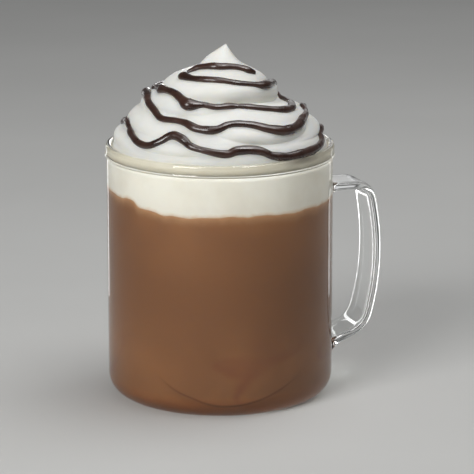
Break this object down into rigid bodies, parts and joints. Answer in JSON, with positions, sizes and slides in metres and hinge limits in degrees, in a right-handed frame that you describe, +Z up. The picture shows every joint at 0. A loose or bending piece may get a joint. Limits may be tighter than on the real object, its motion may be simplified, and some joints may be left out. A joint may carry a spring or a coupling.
{
  "type": "hot chocolate in a glass mug",
  "caption": "Hot chocolate with milk foam in a straight clear glass mug with a strap handle, topped with a piped whipped cream swirl and chocolate sauce.",
  "frame": {"origin": "middle of the mug's flat base, on the mug's axis", "axes": "+Z up along the mug's axis, +X towards the handle"},
  "size_m": [0.107, 0.0868, 0.1348],
  "materials": {
    "clear_glass": "clear blown borosilicate glass, polished",
    "hot_chocolate": "opaque milky brown drink behind glass, with faint swirls",
    "milk_foam": "fine off-white milk foam",
    "whipped_cream": "smooth soft whipped cream, satin",
    "chocolate_sauce": "glossy dark chocolate sauce"
  },
  "bodies": {
    "root": {"glass_mug": "clear_glass", "hot_chocolate": "hot_chocolate", "milk_foam": "milk_foam", "whipped_cream": "whipped_cream"}
  },
  "joints": []
}
